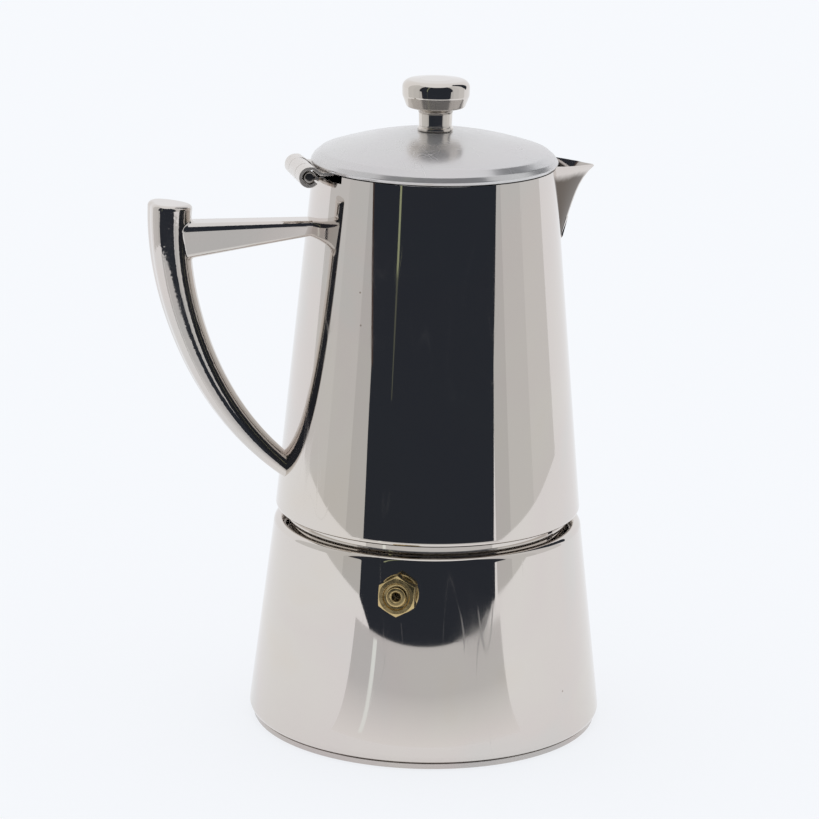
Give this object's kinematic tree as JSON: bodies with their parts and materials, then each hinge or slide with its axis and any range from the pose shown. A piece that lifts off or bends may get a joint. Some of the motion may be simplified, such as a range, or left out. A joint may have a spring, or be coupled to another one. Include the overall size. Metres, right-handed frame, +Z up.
{
  "type": "moka pot",
  "caption": "Stove-top coffee maker: conical steel boiler and screw-on collector with hinged domed lid, V spout, curved handle, coffee basket, filter and safety valve.",
  "frame": {"origin": "centre of the base's underside, on the axis of the boiler and collector", "axes": "+Z up along the axis, +X towards the spout, the handle and lid hinge at -X"},
  "size_m": [0.1574, 0.1212, 0.2225],
  "materials": {
    "polished_steel": "mirror-polished stainless steel with fine scratches",
    "satin_steel": "satin stainless steel, as drawn",
    "aluminium_core": "plain",
    "valve_brass": "turned brass, lightly tarnished",
    "spring_steel": "bright spring steel",
    "silicone": "off-white silicone"
  },
  "bodies": {
    "boiler": {"base_cap": "polished_steel", "base_core": "aluminium_core", "boiler_shell": "polished_steel", "valve_bush": "satin_steel", "valve_washer": "valve_brass", "valve_body": "valve_brass", "valve_retainer": "valve_brass", "valve_spring": "spring_steel"},
    "relief_ball": {"valve_ball": "spring_steel"},
    "basket": {"basket_cup": "satin_steel", "basket_sieve": "satin_steel", "funnel_stem": "satin_steel"},
    "filter": {"filter_gasket": "silicone", "filter_plate": "satin_steel"},
    "collector": {"collector_shell": "polished_steel", "spout": "polished_steel", "collector_floor": "satin_steel", "threaded_collar": "satin_steel", "coffee_column": "satin_steel", "column_cap": "satin_steel", "handle": "polished_steel", "body_hinge_leaf": "polished_steel", "hinge_pin": "polished_steel"},
    "lid": {"lid_shell": "polished_steel", "lid_hinge_leaf": "polished_steel", "knob": "polished_steel", "knob_washer": "satin_steel", "knob_screw": "satin_steel"}
  },
  "joints": [
    {"name": "collector_lift", "type": "slide", "parent": "boiler", "child": "filter", "axis": [0, 0, 1], "range_m": [0, 0.18]},
    {"name": "collector_turn", "type": "hinge", "parent": "filter", "child": "collector", "pos_m": [0, 0, 0.082], "axis": [0, 0, 1], "range_deg": [0, 810]},
    {"name": "basket_lift", "type": "slide", "parent": "boiler", "child": "basket", "axis": [0, 0, 1], "range_m": [0, 0.09]},
    {"name": "lid_hinge", "type": "hinge", "parent": "collector", "child": "lid", "pos_m": [-0.0452, 0, 0.1923], "axis": [0, -1, 0], "range_deg": [0, 105]},
    {"name": "valve_relief", "type": "slide", "parent": "boiler", "child": "relief_ball", "axis": [-0.3847, -0.9151, 0.1205], "range_m": [0, 0.0012], "stiffness_N_per_m": 1000, "springref_m": -0.0016, "deforming": ["valve_spring"]}
  ],
  "couplings": [
    {"joint": "basket_lift", "follows": "collector_lift", "ratio": 0.5}
  ]
}
